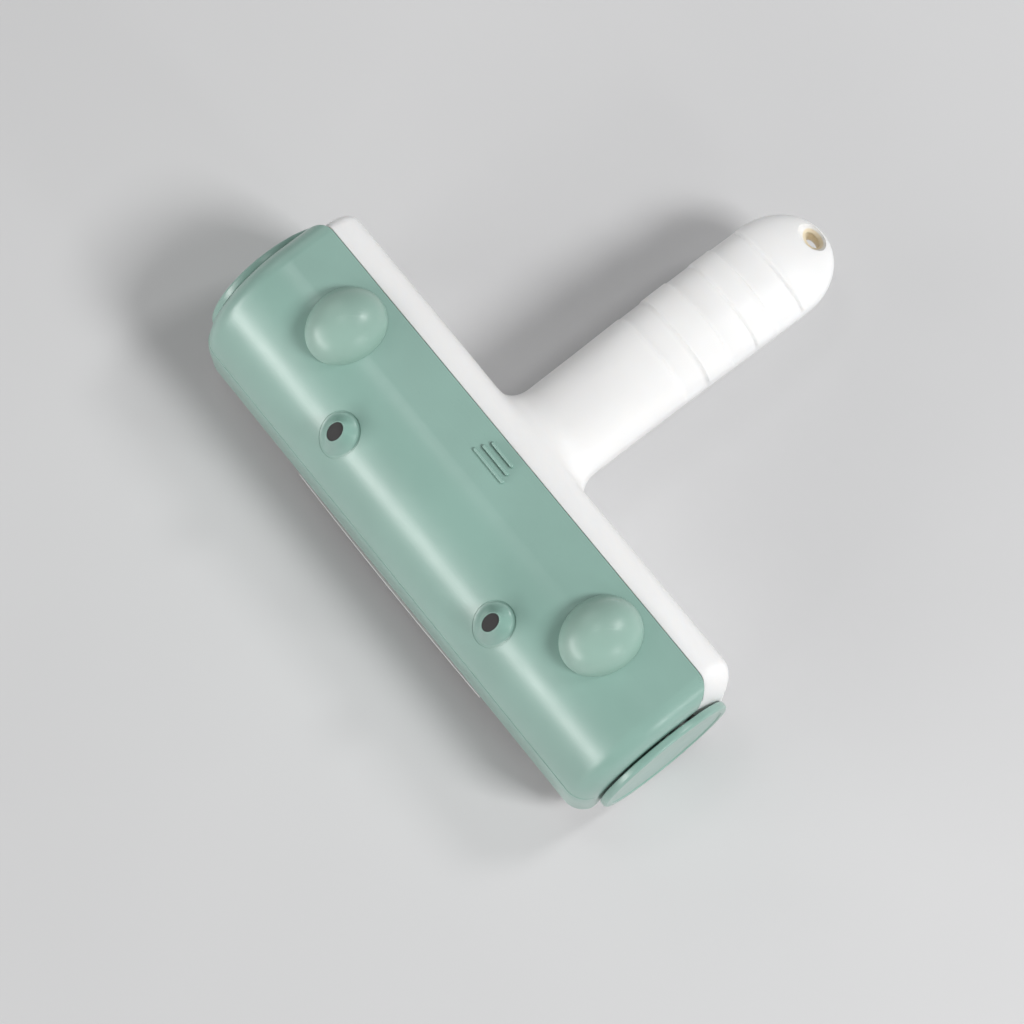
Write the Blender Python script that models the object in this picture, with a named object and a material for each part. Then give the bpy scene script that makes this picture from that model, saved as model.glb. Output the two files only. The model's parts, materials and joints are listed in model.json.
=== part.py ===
"""A reusable pet-hair roller: a T-shaped hand tool with a rocking fabric drum under a hinged lid.

All lengths are in millimetres and MM turns them into metres. X runs along the head, Y from the
head to the handle's tip, Z up. The origin is the middle of the footprint, on the ground. Angles on
the drum are counted in degrees from its lowest line, negative towards the front (-Y).
"""

import math

import bmesh
import bpy
from mathutils import Matrix, Vector

MM = 0.001

# Head
FRONT_Y = -83.9  # front face of the lid
SEAM_Y = -36.0  # rear edge of the lid
REAR_Y = -26.2  # rear wall of the housing
TOP_Z = 56.0  # flat top of the lid
SEAM_DROP = 0.4  # fall of the lid's top from its crown to the seam
SHOULDER = (33.0, 32.0)  # depth and height of the lid's front quarter ellipse
GAP = 0.3  # clearance left between neighbouring pieces

# Lid
LID_HALF = 91.3
LID_END_RADIUS = 7.0
LID_WALL = 1.6
LID_FRONT_BOTTOM = 12.0
LID_REAR_BOTTOM = 45.5
LID_LEDGE_Z = 44.6  # the ledge of the housing under the lid's rear edge
HINGE_Y, HINGE_Z = -80.6, 14.0
PIN_RADIUS = 0.7
KNUCKLE_RADIUS = 1.4
HINGE_X = 76.0
RIB_LENGTHS = (13.5, 11.6, 9.6)
RIB_WIDTH = 1.0
RIB_PITCH = 2.55
RIB_HEIGHT = 0.6
FIRST_RIB_Y = -44.8
DOME_X, DOME_Y, DOME_Z = 58.8, -51.0, 55.0
DOME_AXES = (11.0, 12.8, 10.4)
EYE_X, EYE_Y = 36.0, -71.6
EYE_RADIUS = 6.0
EYE_HEIGHT = 6.6
EYE_BASE = 0.5  # height of the eye's underside over its seat
EYE_GROOVE = (6.35, 0.5)  # outer radius and depth of the groove round each eye
PUPIL_RADIUS = 2.35
PUPIL_DEPTH = 0.9

# Drum
AXIS_Y, AXIS_Z = -54.1, 24.0
FABRIC_RADIUS = 24.0
FABRIC_INNER = 21.9
FABRIC_HALF = 85.2
FABRIC_SPAN = (5.0, 96.0)
TUB_RADII = (19.6, 21.6)
TUB_ANGLE = 112.0
STRIP_ANGLE = 4.2
STRIP_RADIUS = 23.4
DECK_Z = (30.0, 31.6)
JOURNAL_RADIUS = 6.6
CAP_RADIUS = 23.0
CAP_INNER_X, CAP_OUTER_X = 91.9, 94.5

# Housing
HOUSING_HALF = 91.5
HOUSING_END_RADIUS = 6.5
HOUSING_END_DROP = 4.4  # fall of the top for each millimetre that the end is rounded in
DRUM_ROOM_HALF = 88.7
HOUSING_WALL = 1.9
APRON_RADII = (25.2, 26.6)
REAR_SHOULDER = (9.5, 12.0)
FOOT_RADIUS = 7.6
FOOT_FRONT_Y = -39.4
PLATE_X = (87.0, 88.4)
BUSH_RADII = (6.9, 8.7)
RAIL_HALF = 86.7
TONGUE_HALF = 44.0
TONGUE_Y = -84.3  # the middle of its bowed front edge
TONGUE_REAR_Y = -74.9
TONGUE_BOW = 0.5
TONGUE_Z = (7.2, 8.8)
SCRAPER_RADII = (24.3, 24.9)
SCRAPER_SPAN = (60.0, 95.0)
SPLIT_GAP = 0.15  # half of the parting line between the two housing halves

# Handle
TIP_Y = 84.5
HANDLE_WIDTH = 16.0  # half width at the root
HANDLE_GAIN = 0.6  # the half width grows by this towards the tip
HANDLE_HEIGHT = 12.3  # half height
HANDLE_THINNING = 0.35
HANDLE_Z = 31.0
HANDLE_DROOP = 4.0
ROOT_FILLET = 8.0
TIP_START_Y = 64.9
BANDS = ((17.0, 26.0), (35.0, 45.0), (54.0, 63.0))
BAND_DEPTH = 0.5
HOLE_Y = 80.6
HOLE_AXES = (4.0, 2.45)
HOUSING_SCREWS_Y = (-14.0, 24.0, 60.0)
SCREW_SIDES = 12
SCREW_RECESS_DEPTH = 0.5
SCREW_RECESS_RADIUS = 0.7

GREEN = ("mint_plastic", (0.29, 0.44, 0.38), 0.38, 0.0)
WHITE = ("white_plastic", (0.86, 0.86, 0.85), 0.42, 0.0)
DARK = ("pupil_plastic", (0.04, 0.04, 0.042), 0.45, 0.0)
FABRIC = ("lint_fabric", (0.62, 0.10, 0.09), 0.95, 0.0)
RUBBER = ("grey_rubber", (0.16, 0.17, 0.17), 0.75, 0.0)
STEEL = ("screw_steel", (0.55, 0.56, 0.58), 0.35, 1.0)

ORIGIN = (0.0, 0.0, 0.0)
LID_ORIGIN = (0.0, HINGE_Y, HINGE_Z)
DRUM_ORIGIN = (0.0, AXIS_Y, AXIS_Z)
SIDES = (("left", -1), ("right", 1))


# ---------------------------------------------------------------- scene helpers

def clear_scene():
    for obj in list(bpy.data.objects):
        bpy.data.objects.remove(obj, do_unlink=True)


def new_collection(name, hidden=False):
    collection = bpy.data.collections.new(name)
    bpy.context.scene.collection.children.link(collection)
    collection.hide_render = hidden
    return collection


def material(spec):
    name, colour, roughness, metallic = spec
    found = bpy.data.materials.get(name)
    if found:
        return found
    made = bpy.data.materials.new(name)
    made.use_nodes = True
    shader = made.node_tree.nodes["Principled BSDF"]
    shader.inputs["Base Color"].default_value = (*colour, 1.0)
    shader.inputs["Roughness"].default_value = roughness
    shader.inputs["Metallic"].default_value = metallic
    return made


def add_object(name, bm, spec=None, origin=ORIGIN, smooth=30.0):
    """Turns bm, drawn in millimetres, into an object: a part if it has a material, else a cutter."""
    bmesh.ops.recalc_face_normals(bm, faces=bm.faces)
    bm.transform(Matrix.Scale(MM, 4) @ Matrix.Translation(-Vector(origin)))
    mesh = bpy.data.meshes.new(name)
    bm.to_mesh(mesh)
    bm.free()
    mesh.shade_smooth()
    mesh.set_sharp_from_angle(angle=math.radians(smooth))
    obj = bpy.data.objects.new(name, mesh)
    obj.location = Vector(origin) * MM
    if spec:
        mesh.materials.append(material(spec))
        PARTS.objects.link(obj)
    else:
        obj.hide_render = True
        obj.display_type = "WIRE"
        CUTTERS.objects.link(obj)
    return obj


def boolean(target, tool, operation="DIFFERENCE"):
    modifier = target.modifiers.new(f"{operation.lower()} {tool.name}", "BOOLEAN")
    modifier.operation = operation
    modifier.object = tool
    modifier.solver = "EXACT"
    return target


# ---------------------------------------------------------------- shape helpers

def loft(rings, closed=False):
    """A closed solid through equal rings of points, capped at both ends or closed on itself."""
    bm = bmesh.new()
    layers = [[bm.verts.new(point) for point in ring] for ring in rings]
    pairs = list(zip(layers, layers[1:]))
    if closed:
        pairs.append((layers[-1], layers[0]))
    for first, second in pairs:
        for k in range(len(first)):
            n = (k + 1) % len(first)
            bm.faces.new((first[k], first[n], second[n], second[k]))
    if not closed:
        bm.faces.new(layers[0])
        bm.faces.new(layers[-1])
    return bm


def prism_x(outline, low, high):
    """The (y, z) outline extruded along X from low to high."""
    return loft([[(x, y, z) for y, z in outline] for x in (low, high)])


def prism_z(outline, low, high):
    return loft([[(x, y, z) for x, y in outline] for z in (low, high)])


def box(low, high):
    outline = [(low[1], low[2]), (high[1], low[2]), (high[1], high[2]), (low[1], high[2])]
    return prism_x(outline, low[0], high[0])


def cylinder_x(centre, radius, low, high, sides=32):
    return prism_x(arc(centre, radius, 0.0, 360.0, sides)[:-1], low, high)


def cylinder_z(centre, radius, low, high, sides=24):
    return prism_z(arc(centre, radius, 0.0, 360.0, sides)[:-1], low, high)


def arc(centre, radius, start, end, steps):
    """Points on a circle or an ellipse, from start to end degrees, counted from the first axis."""
    wide, high = radius if isinstance(radius, tuple) else (radius, radius)
    points = []
    for k in range(steps + 1):
        angle = math.radians(start + (end - start) * k / steps)
        points.append((centre[0] + wide * math.cos(angle), centre[1] + high * math.sin(angle)))
    return points


def drum_arc(radius, start, end, steps):
    """Points round the drum's axis, at angles from its lowest line, positive to the rear."""
    return arc((AXIS_Y, AXIS_Z), radius, start - 90.0, end - 90.0, steps)


def drum_band(inner, outer, start, end, steps):
    return drum_arc(inner, start, end, steps) + drum_arc(outer, end, start, steps)


def turned_x(profile, side, centre=(AXIS_Y, AXIS_Z), sides=32):
    """A profile of (x, radius) points, closed on itself, turned round an axis along X."""
    rings = []
    for k in range(sides):
        angle = 2 * math.pi * k / sides
        cos, sin = math.cos(angle), math.sin(angle)
        rings.append([(side * x, centre[0] + r * cos, centre[1] + r * sin) for x, r in profile])
    bm = loft(rings, closed=True)
    bmesh.ops.remove_doubles(bm, verts=bm.verts, dist=0.001)
    return bm


def skin(bm, rings, sides):
    """Joins rings of equal count, where a ring may also be a single point on the axis."""
    for first, second in zip(rings, rings[1:]):
        for k in range(sides):
            n = (k + 1) % sides
            face = [first[k % len(first)], first[n % len(first)]]
            face += [second[n % len(second)], second[k % len(second)]]
            bm.faces.new(list(dict.fromkeys(face)))


def inset(outline, distance):
    """The outline moved inwards by distance along its own normals, with the same points."""
    area = sum(a[0] * b[1] - b[0] * a[1] for a, b in zip(outline, outline[1:] + outline[:1]))
    turn = 1.0 if area > 0 else -1.0
    moved = []
    for k, point in enumerate(outline):
        here = Vector(point)
        before = (here - Vector(outline[k - 1])).normalized()
        after = (Vector(outline[(k + 1) % len(outline)]) - here).normalized()
        first = Vector((-before.y, before.x)) * turn
        second = Vector((-after.y, after.x)) * turn
        bisector = (first + second).normalized()
        moved.append(tuple(here + bisector * distance / bisector.dot(first)))
    return moved


def rounded_bar(outline_at, half_length, end_radius, steps=4):
    """A bar along X, rounded over at both ends: outline_at(depth) is its section, inset by depth."""
    rings = []
    for side in (-1, 1):
        ends = []
        for k in range(steps + 1):
            angle = math.radians(90.0 * k / steps)
            x = side * (half_length - end_radius * (1 - math.sin(angle)))
            section = outline_at(end_radius * (1 - math.cos(angle)))
            ends.append([(x, y, z) for y, z in section])
        rings += ends[::-1] if side < 0 else ends
    return loft(rings)


# ---------------------------------------------------------------- lid

def lid_outline(depth=0.0):
    """The lid's section: upright front, quarter ellipse and a nearly flat top back to the seam."""
    wide, high = SHOULDER
    crown = (FRONT_Y + wide, TOP_Z - high)
    points = [(FRONT_Y, -30.0)]
    points += arc(crown, SHOULDER, 180.0, 90.0, 16)
    points += [(SEAM_Y, TOP_Z - SEAM_DROP), (SEAM_Y, -30.0)]
    return inset(points, depth)


def lid_solid(offset):
    """The lid's outer form without its underside, grown outwards by offset."""
    return rounded_bar(
        lambda depth: lid_outline(depth - offset), LID_HALF + offset, LID_END_RADIUS + offset, 6
    )


def lid_top_z(y):
    """Height of the lid's outer surface on its front shoulder."""
    wide, high = SHOULDER
    reach = min(max((FRONT_Y + wide - y) / wide, 0.0), 1.0)
    return TOP_Z - high + high * math.sqrt(1 - reach * reach)


def lid_shell():
    lid = add_object("lid_shell", lid_solid(0.0), GREEN, LID_ORIGIN)
    boolean(lid, add_object("lid_cavity", lid_solid(-LID_WALL)))
    under = [
        (-110.0, -50.0),
        (-110.0, LID_FRONT_BOTTOM),
        (-79.0, LID_FRONT_BOTTOM),
        (-66.0, 36.0),
        (-44.0, LID_REAR_BOTTOM),
        (-20.0, LID_REAR_BOTTOM),
        (-20.0, -50.0),
    ]
    boolean(lid, add_object("lid_underside", prism_x(under, -110, 110)))
    add_ribs(lid)
    add_snap_tab(lid)
    add_lid_lugs(lid)
    for name, side in SIDES:
        groove = eye_solid(side, EYE_GROOVE[0], -EYE_GROOVE[1], 4.0)
        boolean(lid, add_object(f"eye_groove_{name}", groove))
        core = eye_solid(side, EYE_RADIUS - GAP, -2.0, 0.0)
        boolean(lid, add_object(f"eye_seat_{name}", core), "UNION")
    return lid


def eye_solid(side, radius, low, high, sides=28):
    """A round plug on an eye's upright axis, between two heights above the lid's surface."""
    rings = []
    for height in (low, high):
        ring = []
        for x, y in arc((side * EYE_X, EYE_Y), radius, 0.0, 360.0, sides)[:-1]:
            ring.append((x, y, lid_top_z(y) + height))
        rings.append(ring)
    return loft(rings)


def add_ribs(lid):
    """Three raised bars near the seam, where a thumb pushes the lid open."""
    for k, length in enumerate(RIB_LENGTHS):
        y = FIRST_RIB_Y + k * RIB_PITCH
        half = length / 2 - RIB_WIDTH / 2
        outline = arc((half, y), RIB_WIDTH / 2, -90, 90, 6) + arc((-half, y), RIB_WIDTH / 2, 90, 270, 6)
        rib = add_object(f"rib_{k + 1}", prism_z(outline, TOP_Z - 1.2, TOP_Z + RIB_HEIGHT))
        boolean(lid, rib, "UNION")


def add_snap_tab(lid):
    """A springy tab on the lid's rear wall, whose nose sits under the housing's catch."""
    outline = [(-3.0, 40.5), (-1.2, 40.5), (-1.2, 42.0), (-1.8, 42.0), (-1.8, 45.7), (-1.0, 46.5)]
    outline += [(-1.0, 52.0), (-3.0, 52.0)]
    outline = [(SEAM_Y + y, z) for y, z in outline]
    boolean(lid, add_object("snap_tab", prism_x(outline, -9.0, 9.0)), "UNION")


def add_lid_lugs(lid):
    """One knuckle near each end, on the inside of the front wall."""
    for name, side in SIDES:
        low, high = sorted((side * (HINGE_X - 2.0), side * (HINGE_X + 2.0)))
        outline = arc((HINGE_Y, HINGE_Z), KNUCKLE_RADIUS, -90, 90, 12)
        outline += [(FRONT_Y + 1.0, HINGE_Z + KNUCKLE_RADIUS), (FRONT_Y + 1.0, HINGE_Z - KNUCKLE_RADIUS)]
        boolean(lid, add_object(f"lid_lug_{name}", prism_x(outline, low, high)), "UNION")
        bore = cylinder_x((HINGE_Y, HINGE_Z), PIN_RADIUS + GAP, low - 1, high + 1, 16)
        boolean(lid, add_object(f"lid_lug_bore_{name}", bore))


def dome(name, side):
    bm = bmesh.new()
    bmesh.ops.create_uvsphere(bm, u_segments=28, v_segments=16, radius=1.0)
    bm.transform(Matrix.Translation((side * DOME_X, DOME_Y, DOME_Z)) @ Matrix.Diagonal((*DOME_AXES, 1)))
    made = add_object(f"ear_dome_{name}", bm, GREEN, LID_ORIGIN, 60.0)
    return boolean(made, LID_CLEARANCE)


def eye_boss(name, side):
    """A bulging cone that follows the lid's slope, with a pocket for the pupil at its top."""
    floor = EYE_HEIGHT - PUPIL_DEPTH
    steps = [(0.0, floor), (PUPIL_RADIUS + GAP, floor), (PUPIL_RADIUS + GAP, EYE_HEIGHT)]
    steps += [(PUPIL_RADIUS + 0.75, EYE_HEIGHT - 0.1)]
    inner = PUPIL_RADIUS + 0.75
    for k in range(1, 7):
        u = k / 6
        radius = inner + (EYE_RADIUS - inner) * u
        steps.append((radius, EYE_HEIGHT - 0.1 - (EYE_HEIGHT - 0.5) * u ** 1.25))
    steps += [(EYE_RADIUS, EYE_BASE), (0.0, EYE_BASE)]
    return add_object(f"eye_boss_{name}", eye_turned(side, steps), GREEN, LID_ORIGIN, 45.0)


def eye_turned(side, steps, sides=28):
    """A turned shape on an eye's upright axis: (radius, height above the lid's surface)."""
    bm = bmesh.new()
    rings = []
    for radius, height in steps:
        points = arc((side * EYE_X, EYE_Y), max(radius, 0.0), 0.0, 360.0, sides)[:-1]
        if radius == 0.0:
            points = points[:1]
        rings.append([bm.verts.new((x, y, lid_top_z(y) + height)) for x, y in points])
    skin(bm, rings, sides)
    return bm


def pupil(name, side):
    low = EYE_HEIGHT - PUPIL_DEPTH + GAP
    steps = [(0.0, EYE_HEIGHT), (PUPIL_RADIUS, EYE_HEIGHT), (PUPIL_RADIUS, low), (0.0, low)]
    return add_object(f"pupil_{name}", eye_turned(side, steps), DARK, LID_ORIGIN)


# ---------------------------------------------------------------- housing and handle

def housing_outline(depth=0.0, wall=0.0):
    """The rear body's section: a rounded shoulder behind the seam, a rear wall and a foot."""
    top = TOP_Z - SEAM_DROP - 0.2 - HOUSING_END_DROP * depth - wall
    rear = REAR_Y - depth - wall
    bottom = depth + wall
    shoulder = (REAR_SHOULDER[0] - depth - wall, REAR_SHOULDER[1] - 1.6 * depth - wall)
    foot = FOOT_RADIUS - depth - wall
    points = [(-70.0, top)]
    points += arc((rear - shoulder[0], top - shoulder[1]), shoulder, 90.0, 0.0, 10)
    points += arc((rear - foot, bottom + foot), foot, 0.0, -90.0, 6)
    points.append((-70.0, bottom))
    return points


def housing_solid(wall):
    """The rear body's outer form, shrunk inwards by wall."""
    return rounded_bar(
        lambda depth: housing_outline(depth, wall), HOUSING_HALF - wall, HOUSING_END_RADIUS - wall, 6
    )


def smooth_step(low, high, value):
    u = min(max((value - low) / (high - low), 0.0), 1.0)
    return u * u * (3 - 2 * u)


def handle_size(y):
    """Half width, half height and centre height of the handle's section at y."""
    near = min(max(ROOT_FILLET - (y - REAR_Y), 0.0), ROOT_FILLET)
    flare = ROOT_FILLET - math.sqrt(ROOT_FILLET ** 2 - near ** 2)
    width = HANDLE_WIDTH + HANDLE_GAIN * smooth_step(-10.0, 50.0, y) + flare
    thin = 1 - HANDLE_THINNING * smooth_step(30.0, TIP_Y, y)
    height = HANDLE_HEIGHT * thin + 0.8 * flare
    centre = HANDLE_Z - HANDLE_DROOP * smooth_step(20.0, TIP_Y, y)
    past = max((y - TIP_START_Y) / (TIP_Y - TIP_START_Y), 0.0)
    tip = math.sqrt(max(1 - past * past, 0.0004))
    return width * tip, height * tip, centre


def handle_section(y, shrink=0.0, groove=0.0, sides=28, power=2.25):
    """A superellipse section; groove is the depth of a finger band, fading out at the sides."""
    width, height, centre = handle_size(y)
    ring = []
    for k in range(sides):
        angle = 2 * math.pi * k / sides
        cos, sin = math.cos(angle), math.sin(angle)
        x = math.copysign(abs(cos) ** (2 / power), cos)
        z = math.copysign(abs(sin) ** (2 / power), sin)
        depth = shrink + groove * math.sqrt(max(sin, 0.0))
        ring.append((x * max(width - depth, 0.05), y, centre + z * max(height - depth, 0.05)))
    return ring


def handle_stations():
    """(y, groove depth) along the handle, closer together on the root fillet, bands and tip."""
    stations = [(-34.0, 0.0)]
    for k in range(7):
        stations.append((REAR_Y + ROOT_FILLET * (1 - math.cos(math.radians(15.0 * k))), 0.0))
    stations += [(-10.0, 0.0), (4.0, 0.0)]
    for low, high in BANDS:
        stations += [(low, 0.0), (low + 0.5, BAND_DEPTH), (high - 0.5, BAND_DEPTH), (high, 0.0)]
    tip_length = TIP_Y - TIP_START_Y
    for k in range(1, 10):
        stations.append((TIP_START_Y + tip_length * math.sin(math.radians(10.0 * k)), 0.0))
    return stations


def handle_solid():
    return loft([handle_section(y, groove=groove) for y, groove in handle_stations()])


def handle_cavity():
    ends = [-33.0, REAR_Y, REAR_Y + 2.0, REAR_Y + 5.0, -18.0, 10.0, 35.0, 55.0, 66.0, 71.0]
    rings = [handle_section(y, HOUSING_WALL + BAND_DEPTH * (y > 5), sides=24) for y in ends]
    return loft(rings)


def housing_cavity():
    """The hollow inside the housing, left open to the handle and at the parting line."""
    cavity = add_object("housing_cavity", housing_solid(HOUSING_WALL))
    front = box((-120, -90, 24.0), (120, SEAM_Y + GAP + HOUSING_WALL, 90))
    boolean(cavity, add_object("housing_front_wall", front))
    apron = cylinder_x((AXIS_Y, AXIS_Z), APRON_RADII[1], -120, 120, 64)
    boolean(cavity, add_object("housing_apron", apron))
    boolean(cavity, add_object("housing_foot_fill", box((-120, -90, -20), (120, 0, 26.0))))
    return boolean(cavity, add_object("handle_cavity", handle_cavity()), "UNION")


def parting_prism(offset):
    """Everything below the parting line, which follows the handle's drooping centre line."""
    line = [(-120.0, HANDLE_Z + offset)]
    for k in range(14):
        y = 20.0 + 5.0 * k
        line.append((y, handle_size(y)[2] + offset))
    line += [(120.0, handle_size(TIP_Y)[2] + offset), (120.0, -60.0), (-120.0, -60.0)]
    return prism_x(line, -130, 130)


def housing_half(name, operation, offset):
    """One of the two mouldings that make the rear body and the handle."""
    half = add_object(name, housing_solid(0.0), WHITE, ORIGIN, 35.0)
    for tool, action in HOUSING_TOOLS:
        boolean(half, tool, action)
    return boolean(half, add_object(f"{name}_parting", parting_prism(offset)), operation)


def lid_room_outline(depth):
    """The room for the lid's rear edge, open to the front and above."""
    rear = SEAM_Y + GAP - depth
    return [(-70.0, LID_LEDGE_Z), (-70.0, TOP_Z + 9), (rear, TOP_Z + 9), (rear, LID_LEDGE_Z)]


def housing_tools():
    """The steps that both halves share, in order."""
    handle = add_object("handle_solid", handle_solid())
    lid_room = rounded_bar(lid_room_outline, LID_HALF + GAP, LID_END_RADIUS + GAP, 6)
    in_front = box((-120, -90, -20), (120, FOOT_FRONT_Y - 2.6, 90))
    behind = SEAM_Y + GAP
    middle = [(-90, -20), (FOOT_FRONT_Y, -20), (FOOT_FRONT_Y, 30), (behind, 30), (behind, 90), (-90, 90)]
    drum_room = cylinder_x((AXIS_Y, AXIS_Z), APRON_RADII[0], -DRUM_ROOM_HALF, DRUM_ROOM_HALF, 64)
    low_ends = box((-120, -90, -20), (120, FOOT_FRONT_Y, 14))
    hole = prism_z(arc((0.0, HOLE_Y), HOLE_AXES, 0.0, 360.0, 24)[:-1], -20, 60)
    return [
        (handle, "UNION"),
        (housing_cavity(), "DIFFERENCE"),
        (add_object("in_front_room", in_front), "DIFFERENCE"),
        (add_object("lid_room", lid_room), "DIFFERENCE"),
        (add_object("middle_room", prism_x(middle, -DRUM_ROOM_HALF, DRUM_ROOM_HALF)), "DIFFERENCE"),
        (add_object("drum_room", drum_room), "DIFFERENCE"),
        (add_object("low_end_room", low_ends), "DIFFERENCE"),
        (add_object("hang_hole", hole), "DIFFERENCE"),
    ]


def upper_housing():
    half = housing_half("upper_housing", "DIFFERENCE", SPLIT_GAP)
    catch = box((-10, SEAM_Y - 1.5, 42.8), (10, SEAM_Y + 1.0, 44.6))
    boolean(half, add_object("lid_catch", catch), "UNION")
    for k, y in enumerate(HOUSING_SCREWS_Y):
        width, height, centre = handle_size(y)
        post = cylinder_z((0.0, y), 3.0, centre + SPLIT_GAP, centre + height - 1.0)
        boolean(half, add_object(f"screw_post_{k + 1}", post), "UNION")
        pilot = cylinder_z((0.0, y), 1.3, centre - 5.0, centre + height * 0.62, 16)
        boolean(half, add_object(f"screw_pilot_{k + 1}", pilot))
    return half


def lower_housing():
    half = housing_half("lower_housing", "INTERSECT", -SPLIT_GAP)
    for k, y in enumerate(HOUSING_SCREWS_Y):
        width, height, centre = handle_size(y)
        post = cylinder_z((0.0, y), 4.6, centre - height + 1.0, centre - SPLIT_GAP)
        boolean(half, add_object(f"screw_socket_{k + 1}", post), "UNION")
        well = cylinder_z((0.0, y), 3.1, -20.0, centre - 4.0)
        boolean(half, add_object(f"screw_well_{k + 1}", well))
        bore = cylinder_z((0.0, y), 1.6, -20.0, 60.0, 16)
        boolean(half, add_object(f"screw_bore_{k + 1}", bore))
    for name, side in SIDES:
        cut_plate_screw(half, f"rear_{name}", side, REAR_SCREW)
    return half


# ---------------------------------------------------------------- frame pieces

REAR_SCREW = (-36.0, 24.0, 90.6)  # y, z and the x of the face that the head is sunk into
FRONT_SCREW = (-76.9, 9.2, 89.5)


def cut_plate_screw(target, name, side, place):
    y, z, face = place
    shaft = cylinder_x((y, z), 1.3, *sorted((side * 70, side * 95)), 16)
    boolean(target, add_object(f"plate_screw_bore_{name}", shaft))
    head = cylinder_x((y, z), 2.6, *sorted((side * (face - 1.1), side * 95)), 20)
    boolean(target, add_object(f"plate_screw_sink_{name}", head))


def side_plate(name, side):
    """An end plate: carries the drum's bush and joins the front rail to the housing."""
    outline = [(-79.5, 7.0), (-79.5, 10.8), (-78.0, 11.4), (-78.0, 31.0), (-76.5, 35.0), (-70.0, 38.5)]
    outline += [(-42.6, 38.5), (-42.6, 31.5)]
    outline += [(-32.2, 31.5), (-32.2, 16.5), (-42.6, 16.5), (-42.6, 7.0), (-50.0, 4.2), (-72.0, 4.2)]
    low, high = sorted(side * x for x in PLATE_X)
    plate = add_object(f"side_plate_{name}", prism_x(outline, low, high), WHITE)
    hole = cylinder_x((AXIS_Y, AXIS_Z), BUSH_RADII[1] + GAP, *sorted((side * 80, side * 95)), 40)
    boolean(plate, add_object(f"bush_hole_{name}", hole))
    for label, place in (("rear", REAR_SCREW), ("front", FRONT_SCREW)):
        bore = cylinder_x(place[:2], 1.3, *sorted((side * 80, side * 95)), 16)
        boolean(plate, add_object(f"plate_{label}_bore_{name}", bore))
    return plate


def bush(name, side):
    inner, outer = BUSH_RADII
    profile = [(86.7, inner), (86.7, outer), (88.7, outer), (88.7, outer + 1.0), (89.4, outer + 1.0)]
    profile.append((89.4, inner))
    return add_object(f"bearing_bush_{name}", turned_x(profile, side, sides=30), DARK)


def tongue_outline():
    """Plan of the thumb tongue: a slightly bowed front edge that runs back to the apron."""
    outline = []
    for k in range(13):
        x = TONGUE_HALF * (k / 6 - 1)
        outline.append((x, TONGUE_Y + TONGUE_BOW * (x / TONGUE_HALF) ** 2))
    return outline + [(TONGUE_HALF, TONGUE_REAR_Y), (-TONGUE_HALF, TONGUE_REAR_Y)]


def front_rail():
    """The front lip: an apron round the drum, a tongue under the lid and the hinge ears."""
    band = drum_band(*APRON_RADII, -44.0, -97.0, 12)
    rail = add_object("front_rail", prism_x(band, -RAIL_HALF, RAIL_HALF), WHITE)
    boolean(rail, add_object("tongue", prism_z(tongue_outline(), *TONGUE_Z)), "UNION")
    for name, side in SIDES:
        boss = cylinder_x(FRONT_SCREW[:2], 2.5, *sorted((side * 79, side * RAIL_HALF)), 20)
        boolean(rail, add_object(f"rail_boss_{name}", boss), "UNION")
        boolean(rail, add_object(f"rail_drum_room_{name}", cylinder_x(
            (AXIS_Y, AXIS_Z), APRON_RADII[0], *sorted((side * 78, side * 95)), 64)))
        pilot = cylinder_x(FRONT_SCREW[:2], 1.3, *sorted((side * 81, side * 95)), 16)
        boolean(rail, add_object(f"rail_pilot_{name}", pilot))
        for place in (-1, 1):
            centre = HINGE_X + place * 3.9
            label = f"{name}_{'outer' if place > 0 else 'inner'}"
            boolean(rail, hinge_ear(label, side, centre), "UNION")
        bore = cylinder_x((HINGE_Y, HINGE_Z), PIN_RADIUS + GAP, *sorted((side * 69, side * 80.5)), 16)
        boolean(rail, add_object(f"ear_bore_{name}", bore))
    return rail


def hinge_ear(label, side, centre):
    low, high = sorted((side * (centre - 1.6), side * (centre + 1.6)))
    outline = arc((HINGE_Y, HINGE_Z), KNUCKLE_RADIUS, 90, 270, 12)
    outline += [(-76.6, HINGE_Z - KNUCKLE_RADIUS), (-78.3, HINGE_Z + KNUCKLE_RADIUS)]
    return add_object(f"hinge_ear_{label}", prism_x(outline, low, high))


def hinge_pin(name, side):
    profile = [(70.8, 0.0), (70.8, PIN_RADIUS), (80.2, PIN_RADIUS), (80.2, 0.0)]
    bm = turned_x(profile, side, (HINGE_Y, HINGE_Z), 16)
    return add_object(f"hinge_pin_{name}", drop_axis_faces(bm), STEEL)


def drop_axis_faces(bm):
    """Removes the leftovers of a profile edge that lies on the turning axis."""
    loose = [edge for edge in bm.edges if not edge.link_faces]
    bmesh.ops.delete(bm, geom=loose, context="EDGES")
    return bm


def scraper(name, sign):
    low, high = (sign * angle for angle in SCRAPER_SPAN)
    outline = drum_band(*SCRAPER_RADII, low, high, 8)
    return add_object(f"scraper_{name}", prism_x(outline, -FABRIC_HALF, FABRIC_HALF), RUBBER)


# ---------------------------------------------------------------- drum

def drum_tub():
    outline = drum_band(*TUB_RADII, -TUB_ANGLE, TUB_ANGLE, 40)
    return add_object("drum_tub", prism_x(outline, -FABRIC_HALF, FABRIC_HALF), WHITE, DRUM_ORIGIN)


def drum_deck():
    half = math.sqrt((TUB_RADII[0] - GAP) ** 2 - (DECK_Z[1] - AXIS_Z) ** 2)
    low, high = (-84.0, AXIS_Y - half, DECK_Z[0]), (84.0, AXIS_Y + half, DECK_Z[1])
    return add_object("drum_deck", box(low, high), WHITE, DRUM_ORIGIN)


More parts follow.
